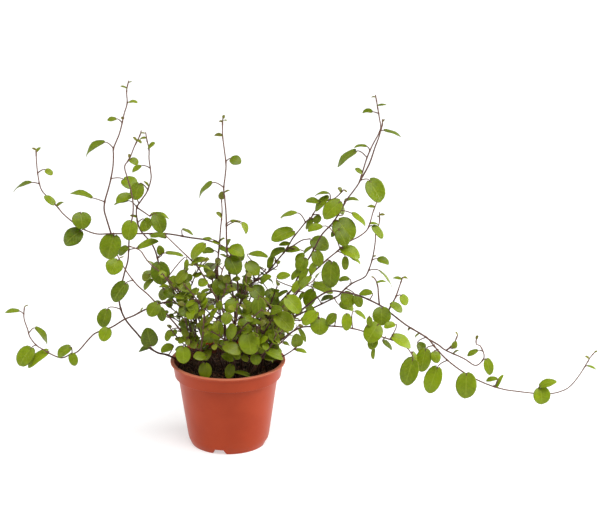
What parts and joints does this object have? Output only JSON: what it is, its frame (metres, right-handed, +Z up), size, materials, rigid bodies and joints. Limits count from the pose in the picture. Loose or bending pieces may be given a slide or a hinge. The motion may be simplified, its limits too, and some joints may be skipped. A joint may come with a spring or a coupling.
{
  "type": "potted wire vine",
  "caption": "Wire vine in a terracotta-coloured nursery pot: wiry dark stems with small round leaves that spread and trail over a lipped pot filled with peat.",
  "frame": {"origin": "centre of the pot's footprint, on the surface that it stands on", "axes": "+Z up, +X to the viewer's right in the picture, +Y away from the viewer"},
  "size_m": [0.6093, 0.1739, 0.375],
  "materials": {
    "pot_plastic": "terracotta-coloured moulded plastic, satin, faint turned lines",
    "peat": "damp dark peat with fibres and pale grains",
    "vine": "thin satin leaves in yellow-green to mid green on wiry red-brown stems"
  },
  "bodies": {
    "root": {"pot": "pot_plastic", "soil": "peat", "vine_back_centre": "vine", "vine_back_left": "vine", "vine_back_right": "vine", "vine_centre_tall": "vine", "vine_centre_twin": "vine", "vine_far_left": "vine", "vine_far_right": "vine", "vine_front": "vine", "vine_front_low": "vine", "vine_front_right": "vine", "vine_left_diagonal": "vine", "vine_left_inner": "vine", "vine_left_middle": "vine", "vine_left_rim": "vine", "vine_left_slope": "vine", "vine_left_tuft": "vine", "vine_low_left": "vine", "vine_over_rim": "vine", "vine_right_inner": "vine", "vine_right_low": "vine", "vine_right_side": "vine", "vine_right_tall": "vine", "vine_right_upper": "vine"}
  },
  "joints": []
}
